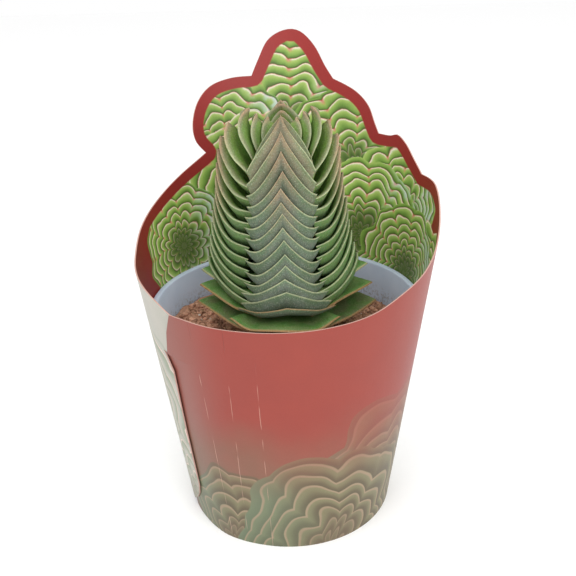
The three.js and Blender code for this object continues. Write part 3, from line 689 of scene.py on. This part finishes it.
class Wire:
    """A value in a material's node tree. Arithmetic on wires adds Math nodes and gives a new wire."""

    def __init__(self, tree, socket=None):
        self.tree = tree
        self.socket = socket

    def feed(self, socket, value):
        """Link a wire to a socket, or set the socket to a plain number or colour."""
        if isinstance(value, Wire):
            self.tree.links.new(value.socket, socket)
        else:
            socket.default_value = value

    def node(self, kind, settings=None, values=None, output=0):
        """Add a node: first its settings, a ramp's stops among them, then its sockets' values or wires."""
        made = self.tree.nodes.new("ShaderNode" + kind)
        for name, value in (settings or {}).items():
            if name == "stops":
                for place, colour in value[1:-1]:
                    made.color_ramp.elements.new(place).color = colour
                for at, (place, colour) in ((0, value[0]), (-1, value[-1])):
                    made.color_ramp.elements[at].position = place
                    made.color_ramp.elements[at].color = colour
            else:
                setattr(made, name, value)
        for name, value in (values or {}).items():
            self.feed(made.inputs[name], value)
        return Wire(self.tree, made.outputs[output])

    def math(self, operation, *values):
        """A Math node's result on values and wires."""
        return self.node("Math", {"operation": operation}, dict(enumerate(values)))

    def __add__(self, other):
        return self.math("ADD", self, other)

    def __sub__(self, other):
        return self.math("SUBTRACT", self, other)

    def __rsub__(self, other):
        return self.math("SUBTRACT", other, self)

    def __mul__(self, other):
        return self.math("MULTIPLY", self, other)

    __radd__, __rmul__ = __add__, __mul__

    def __truediv__(self, other):
        return self.math("DIVIDE", self, other)

    def __rtruediv__(self, other):
        return self.math("DIVIDE", other, self)

    def __pow__(self, other):
        return self.math("POWER", self, other)

    def __rpow__(self, other):
        return self.math("POWER", other, self)

    def least(self, other):
        return self.math("MINIMUM", self, other)

    def most(self, other):
        return self.math("MAXIMUM", self, other)

    def smooth(self, low, high):
        """0 below low, 1 above high, a smooth S between; the other way round where low is above high."""
        return self.node("MapRange", {"interpolation_type": "SMOOTHSTEP"}, {0: self, 1: low, 2: high})

    def mix(self, first, second):
        """A colour between two, with this wire as the share of the second."""
        return self.node("Mix", {"data_type": "RGBA"}, {0: self, 6: first, 7: second}, output=2)

    def between(self, first, second):
        """A number between two, with this wire as the share of the second."""
        return self.node("Mix", {}, {0: self, 2: first, 3: second})

    def times(self, colour):
        """A colour made lighter or darker by this wire."""
        return self.node("VectorMath", {"operation": "SCALE"}, {0: colour, 3: self})

    def noise(self, size, detail=2.0, rough=0.5, seed=0.0):
        """Noise from 0 to 1 over the piece, with features of a size in millimetres."""
        place = self.node("TexCoord", output="Object")
        values = {"Vector": place, "W": seed, "Scale": 1 / (size * MM), "Detail": detail, "Roughness": rough}
        return self.node("TexNoise", {"noise_dimensions": "4D"}, values)

    def layer(self, name):
        """A number kept on the piece's points."""
        return self.node("Attribute", {"attribute_name": name}, output="Fac")

    def bump(self, distance):
        """A normal bent by this wire as a height, where 1 stands for a distance in millimetres."""
        return self.node("Bump", {}, {"Distance": distance * MM, "Height": self})


def paint(red, green, blue):
    """A colour in the 0 to 255 numbers of a picture, as the linear values that a shader wants."""
    value = np.array([red, green, blue]) / 255
    linear = np.where(value <= 0.04045, value / 12.92, ((value + 0.055) / 1.055) ** 2.4)
    return (*linear.tolist(), 1.0)


def new_material(name):
    """A new material and a wire that starts in its tree."""
    made = bpy.data.materials.new(name)
    made.use_nodes = True
    return made, Wire(made.node_tree)


def finish(made, pieces, specular, colour, roughness, normal, more=()):
    """Set a material's Principled shader, with wires for what varies, and put it on pieces."""
    sockets = made.node_tree.nodes["Principled BSDF"].inputs
    for name, value in (("Specular IOR Level", specular), *more):
        sockets[name].default_value = value
    for name, wire in (("Base Color", colour), ("Roughness", roughness), ("Normal", normal)):
        wire.feed(sockets[name], wire)
    for piece in pieces:
        piece.data.materials.append(made)
    print("material", made.name, len(made.node_tree.nodes), "nodes")


# %% [markdown]
# The leaf's skin
#
# A real leaf of this plant is deep green under a grey bloom of wax. The bloom is thick on the front
# and back ranks, thin on the sides, and missing on the young inner faces, which show bright green. All
# over lie pale pores, a third of a millimetre apart or so. The rim is a thin pale line, tinted pink near
# the tip, and the oldest leaves turn brown. Each of these reads one of the numbers kept on the points.

# %% Leaf finish
SIDE_YOUNG, SIDE_GREEN, FRONT_GREEN = paint(128, 152, 86), paint(104, 142, 76), paint(66, 92, 56)
WAX_YOUNG, WAX_GREY, PALE_PORE = paint(132, 124, 100), paint(110, 118, 108), paint(190, 200, 172)
INNER_RIM, INNER_GREEN, INNER_BRIGHT = paint(132, 138, 98), paint(108, 140, 62), paint(112, 154, 62)
INNER_OLD, INNER_OLD_PALE = paint(80, 126, 54), paint(104, 138, 74)
RIM_PALE, RIM_PINK, RIM_BROWN = paint(170, 176, 138), paint(184, 136, 112), paint(172, 124, 84)
BLUSH, WITHERED = paint(146, 112, 88), paint(104, 90, 72)

leaf_skin, w = new_material("leaf_skin")
below, aside, inside = w.layer("below"), w.layer("aside"), w.layer("inside")
age, facing, chance = w.layer("age"), w.layer("facing"), w.layer("chance")

cloud = w.noise(4.0, 3.0)
fine_cloud = w.noise(1.3, 2.0, seed=3.0)
pores = w.noise(0.34, 1.0, seed=7.0).smooth(0.54, 0.68)
grain = w.noise(0.42, 3.0, 0.75, seed=11.0)

side_green = age.smooth(-2, 6).mix(SIDE_YOUNG, SIDE_GREEN)
green = (facing * 0.8).mix(side_green, FRONT_GREEN)
bloom_colour = age.smooth(0, 4).mix(WAX_YOUNG, WAX_GREY)
bloom = facing.between(0.18, 0.7) + (cloud - 0.5) * 0.9 + (fine_cloud - 0.5) * 0.5 + chance * 0.1
bloom = (bloom * below.smooth(-1.5, 2.5)).most(0.0).least(1.0)
outer_skin = bloom.mix(green, bloom_colour)

inner_depth = below + (cloud - 0.5) * 1.5
inner_skin = inner_depth.smooth(0.2, 1.6).mix(INNER_RIM, INNER_GREEN)
inner_skin = inner_depth.smooth(2.0, 7.0).mix(inner_skin, INNER_BRIGHT)
inner_old = cloud.smooth(0.35, 0.65).mix(INNER_OLD, INNER_OLD_PALE)
inner_skin = age.smooth(2, 9).mix(inner_skin, inner_old)
skin = inside.mix(outer_skin, inner_skin)

tip = aside.smooth(0.5, 0.0) * below.smooth(4.5, 0.3) * age.smooth(8, 3)
blush = (tip * (0.55 + 0.9 * (cloud - 0.5)) * inside.between(1.0, 0.5)).most(0.0).least(1.0)
skin = blush.mix(skin, BLUSH)
old = age.smooth(13.2, 15.2) * (0.25 + cloud.smooth(0.42, 0.6) * 0.5)
skin = old.mix(skin, WITHERED)

rim_tint = (aside.smooth(0.6, 0.1) * age.smooth(10, 2) * 0.7).mix(RIM_PALE, RIM_PINK)
rim_tint = age.smooth(12, 13.5).mix(rim_tint, RIM_BROWN)
rim = below.smooth(0.5, 0.12) * (0.4 + fine_cloud * 0.7)
skin = rim.least(1.0).mix(skin, rim_tint)
skin = (pores * inside.between(0.22, 0.16)).mix(skin, PALE_PORE)
# Painted shade: the outer face darkens with its distance below the rim, towards where the next leaf's rim
# covers it.
painted_shade = 1 - 0.42 * below.smooth(0.6, 4.5) * inside.between(1.0, 0.0)
skin = (painted_shade * (0.36 + 1.24 * grain + 0.08 * chance)).times(skin)

leaf_relief = (pores * 0.5 + grain * 0.5 + fine_cloud * 0.7).bump(0.16)
finish(leaf_skin, (leaves, stem), 0.35, skin, 0.5 + 0.2 * fine_cloud, leaf_relief,
       (("Subsurface Weight", 0.08), ("Subsurface Scale", 0.6 * MM)))

# %% [markdown]
# Pot plastic
#
# The pot is moulded in grey polypropylene with a cold, bluish tone. Such plastic is never quite even:
# it has flow marks, fine scuffs from stacking, and a dusty brown band where soil has touched it. Height
# is read from the object's own place, so that the dust sits just above the soil.

# %% Pot finish
pot_plastic, w = new_material("pot_plastic")
height = w.node("SeparateXYZ", {}, {0: w.node("TexCoord", output="Object")}, output=2) / MM
marks = w.noise(9.0, 3.0)
scuffs = w.noise(0.9, 3.0, 0.65, seed=5.0)
grain = w.noise(0.25, 1.0, seed=9.0)
plastic = marks.smooth(0.3, 0.7).mix(paint(200, 214, 236), paint(210, 222, 242))
plastic = (scuffs.smooth(0.58, 0.75) * 0.25).mix(plastic, paint(226, 230, 234))
dust = height.smooth(65.0, 59.0) * height.smooth(52.0, 56.0) * scuffs.smooth(0.45, 0.65)
plastic = (dust * 0.5).mix(plastic, paint(122, 98, 78))
plastic_relief = (grain * 0.3 + marks).bump(0.12)
pot.data.materials.clear()
finish(pot_plastic, (pot,), 0.45, plastic, 0.36 + 0.2 * scuffs + 0.2 * dust, plastic_relief)

# %% [markdown]
# Soil and perlite
#
# Peat is fibrous and near black when wet; here it is dry, so it is a warm brown with paler grit in it.
# Every crumb keeps a tint of its own. Perlite is white volcanic glass with a dull, pitted skin.

# %% Soil finish
peat, w = new_material("peat")
tint = w.layer("tint")
patches, fibres, grit = w.noise(3.0, 3.0), w.noise(0.7, 3.0, 0.7, seed=4.0), w.noise(0.22, 2.0, seed=8.0)
brown = (patches * 0.5 + fibres * 0.7 + tint * 0.35 - 0.1).mix(paint(120, 82, 64), paint(238, 182, 150))
brown = grit.smooth(0.6, 0.72).mix(brown, paint(238, 204, 176))
finish(peat, (bed, crumbs), 0.2, brown, 0.85 + 0.1 * fibres, (fibres + grit * 0.6).bump(0.35))

white_glass, w = new_material("white_glass")
pits = w.noise(0.3, 2.0)
chalk = pits.smooth(0.35, 0.6).mix(paint(176, 166, 150), paint(232, 228, 218))
finish(white_glass, (perlite,), 0.4, chalk, 0.75 - 0.2 * pits, pits.bump(0.2))

# %% [markdown]
# The card's print
#
# The sleeve is printed inside and out. The pattern here is a general one in the usual colours: deep
# red, with overlapping fans of scalloped green rings whose edges are cream and salmon. A fan is simple
# in polar coordinates round its own foot. Its distance out, plus a scallop that follows the angle, counts
# the rings, and the fraction of that count says where in a ring a point lies. The red border keeps
# an even width because it reads the distance from the card's edge, which each point carries.

# %% Fans in polar coordinates


def fan_print(wire, fans, around, up, sway, slowness):
    """Overlay fans of rings: returns place within a ring, share covered, notch, glare and distance out.

    Each fan is [angle, height, radius, ring width, scallops, scallop depth], later ones on top. The sway
    is how many millimetres a noise pushes the pattern about, so that no two rings are alike, and the
    slowness is how many millimetres wide that noise's features are.
    """
    ring = cover = notch = glare = reach = 0.0
    push_x = (wire.noise(slowness, 1.0, seed=21.0) - 0.5) * sway
    push_y = (wire.noise(slowness, 1.0, seed=22.0) - 0.5) * sway
    for angle, z, radius, pitch, scallops, depth in fans:
        x = (around - angle) * DEGREE + push_x
        y = up - z + push_y
        out = (x * x + y * y) ** 0.5
        turn = wire.math("ARCTAN2", x, y)
        wave = wire.math("ABSOLUTE", wire.math("SINE", turn * (scallops / 2)))
        far = out - wave * depth
        here = far.smooth(radius + 0.2, radius - 0.2)
        ring = here.between(ring, wire.math("FRACT", far / pitch))
        notch = here.between(notch, wave.smooth(0.35, 0.05))
        glare = here.between(glare, turn.smooth(0.2, 0.9) * (far / radius))
        reach = here.between(reach, far / radius)
        cover = here.most(cover)
    return ring, cover, notch, glare, reach


INNER_FANS = [
    (3, 110, 32, 3.3, 13, 2.3), (-25, 104, 24, 2.9, 14, 1.8), (31, 100, 26, 3.1, 12, 2.0),
    (57, 90, 21, 2.7, 13, 1.7), (-8, 92, 26, 2.9, 12, 1.9), (-52, 78, 20, 2.7, 13, 1.7),
    (88, 64, 27, 3.0, 15, 1.8), (38, 78, 25, 2.9, 12, 1.9), (66, 70, 22, 2.6, 13, 1.7),
]
OUTER_FANS = [(126, 12, 36, 5.6, 9, 3.2), (209, 2, 24, 3.8, 8, 3.0), (158, -4, 38, 5.0, 10, 3.6)]
PALE_FANS = [
    (-30, 20, 42, 6.0, 10, 3.0), (-96, 38, 36, 6.5, 8, 3.0), (-128, 12, 20, 5.5, 8, 3.0),
    (40, 8, 36, 5.5, 9, 3.0),
]

# %% Inner print
RING_ROOT, CREAM, SALMON = paint(78, 100, 40), paint(250, 244, 222), paint(240, 184, 160)
RING_STOPS = [
    (0.0, RING_ROOT), (0.25, paint(120, 160, 66)), (0.68, paint(172, 200, 104)), (0.8, paint(210, 220, 160)),
    (0.87, CREAM), (0.92, SALMON), (0.97, paint(108, 112, 60)), (1.0, RING_ROOT),
]
NOTCH_ORANGE, GLARE, FAN_FOOT = paint(206, 92, 62), paint(206, 230, 226), paint(70, 92, 42)
RED, RED_SHADED, BORDER = paint(142, 32, 28), paint(130, 38, 34), (3.4, 3.9)

inner_print, w = new_material("inner_print")
around, up, margin = w.layer("around"), w.layer("up"), w.layer("margin")
ring, cover, notch, glare, reach = fan_print(w, INNER_FANS, around, up, sway=5.0, slowness=7.0)
mottle, dots = w.noise(5.0, 3.0), w.noise(0.5, 2.0, seed=6.0)
red = (mottle * 0.6 + around.smooth(-30, -110) * 0.5).mix(RED, RED_SHADED)
leafy = ring.node("ValToRGB", {"stops": RING_STOPS}, {0: ring + (dots - 0.5) * 0.1})
leafy = (notch * ring.smooth(0.5, 0.9) * 0.7).mix(leafy, NOTCH_ORANGE)
leafy = (glare * ring.smooth(0.1, 0.7) * mottle.smooth(0.4, 0.55) * 0.8).mix(leafy, GLARE)
leafy = (reach.smooth(0.5, 0.12) * 0.8).mix(leafy, FAN_FOOT)
# Painted shade: the green of the print is darkened towards the top of the lobed back, from 92 to 122 mm up.
leafy = (1 - 0.28 * up.smooth(92, 122)).times(leafy)
printed = (cover * margin.smooth(*BORDER)).mix(red, leafy)
printed = (0.92 + 0.16 * dots).times(printed)
fibre = w.noise(0.4, 3.0, 0.6, seed=12.0)
finish(inner_print, (card,), 0.4, printed, 0.42 + 0.12 * fibre, (fibre * 0.5 + mottle).bump(0.05))

# %% Outer print
CREASES = [(213, 0.03), (203.5, -0.02), (190, 0.015)]

outer_print, w = new_material("outer_print")
around, up = w.layer("around"), w.layer("up")
ring, cover, _, glare, reach = fan_print(w, OUTER_FANS, around, up, sway=16.0, slowness=18.0)
mottle, haze, dots = w.noise(9.0, 3.0), w.noise(22.0, 2.0, seed=2.0), w.noise(0.5, 2.0, seed=6.0)
low = (up + (haze - 0.5) * 26).smooth(54, 16)
claret_with_painted_reflection = mottle.mix(paint(139, 53, 40), paint(130, 48, 38))
# Painted reflection: from 200 to 228 degrees round, on the front left, the claret is washed paler, as a
# glossy reflection would leave it.
claret_with_painted_reflection = around.smooth(200, 228).mix(claret_with_painted_reflection, paint(132, 74, 64))
earth = mottle.mix(paint(122, 90, 74), paint(100, 88, 66))
leafy = ring.smooth(0.05, 0.8).mix(paint(80, 72, 50), paint(116, 114, 82))
leafy = (glare * 0.7).mix(leafy, paint(94, 118, 92))
leafy = (ring.smooth(0.74, 0.88) * ring.smooth(1.0, 0.94) * 0.55).mix(leafy, paint(168, 138, 116))
leafy = (reach.smooth(0.5, 0.1) * 0.5).mix(leafy, paint(100, 84, 66))
printed = (cover * low.between(0.16, 0.85)).mix(low.mix(claret_with_painted_reflection, earth), leafy)
scratch = 0.0
for angle, lean in CREASES:
    away = w.math("ABSOLUTE", around - angle - up * lean + (mottle - 0.5) * 0.5)
    scratch = (away.smooth(0.22, 0.05) * w.noise(8.0, 1.0, seed=angle).smooth(0.45, 0.6)).most(scratch)
printed = (scratch * up.smooth(72, 60) * 0.45).mix(printed, paint(222, 176, 156))
pale_ring, pale_cover, *_ = fan_print(w, PALE_FANS, around, up, sway=12.0, slowness=14.0)
pale = mottle.mix(paint(178, 172, 162), paint(160, 160, 148))
pale = (pale_cover * pale_ring.smooth(0.1, 0.9) * 0.9).mix(pale, paint(112, 128, 98))
pale = (pale_cover * pale_ring.smooth(0.8, 0.9) * pale_ring.smooth(1.0, 0.95)).mix(pale, paint(206, 184, 172))
pale = (up.smooth(22, 8) * 0.7).mix(pale, paint(122, 118, 100))
printed = around.smooth(96, 82).mix(printed, pale)
printed = (0.95 + 0.1 * dots).times(printed)
fibre = w.noise(0.4, 3.0, 0.6, seed=12.0)
card_relief = (fibre * 0.4 + mottle + scratch * -1.5).bump(0.06)
finish(outer_print, (card,), 0.45, printed, 0.36 + 0.14 * fibre, card_relief)

# %% Cut edge of the card
cut_card, w = new_material("cut_card")
fibre = w.noise(0.25, 3.0, 0.6)
bare_card = fibre.mix(paint(170, 124, 112), paint(204, 172, 160))
finish(cut_card, (card,), 0.3, bare_card, 0.7 + 0.2 * fibre, fibre.bump(0.05))
card.data.polygons.foreach_set("material_index", sides.astype(np.int32))

# %% [markdown]
# Floor and light
#
# Shop photographs of plants are taken in a light tent: light comes from everywhere, a little more from
# above on the left and from the front on the right, and the floor is white. A white world gives the
# first part, and two large soft lamps the second. The floor is a wide sheet with a faint grain.

# %% Studio
FLOOR_HALF = 1500
floor_line = (-FLOOR_HALF, FLOOR_HALF)
floor_points = np.stack([*np.meshgrid(floor_line, floor_line), np.zeros((2, 2))], -1)
floor = mesh_piece("floor", floor_points, grid_faces(2, 2))
white_sheet, w = new_material("white_sheet")
grain = w.noise(3.0, 3.0)
near_white = grain.mix(paint(250, 250, 250), paint(253, 253, 253))
finish(white_sheet, (floor,), 0.1, near_white, 0.8 + 0.1 * grain, grain.bump(0.02))

WORLD_STRENGTH = 1.0
world = bpy.data.worlds.new("studio")
scene.world = world
world.use_nodes = True
sky = world.node_tree.nodes["Background"].inputs
sky["Color"].default_value = (1, 1, 1, 1)
sky["Strength"].default_value = WORLD_STRENGTH

LAMPS = {"key_light": (1.8, 0.5, (-330, -420, 720)), "fill_light": (3.0, 0.6, (300, -560, 400))}
LAMP_AIM = (0, 0, 80)


def soft_lamp(name, power, size, place):
    """A square lamp of a size in metres at a place in millimetres, turned to face the plant."""
    lamp = bpy.data.objects.new(name, bpy.data.lights.new(name, "AREA"))
    scene.collection.objects.link(lamp)
    lamp.data.energy = power
    lamp.data.size = size
    back = np.array(place, dtype=float) - LAMP_AIM
    back /= np.linalg.norm(back)
    right = np.cross([0, 0, 1], back)
    right /= np.linalg.norm(right)
    stand(lamp, (right, np.cross(back, right), back), place)


for lamp_name, values in LAMPS.items():
    soft_lamp(lamp_name, *values)
scene.view_settings.view_transform = "Standard"
print("world", WORLD_STRENGTH, "lamps", LAMPS)
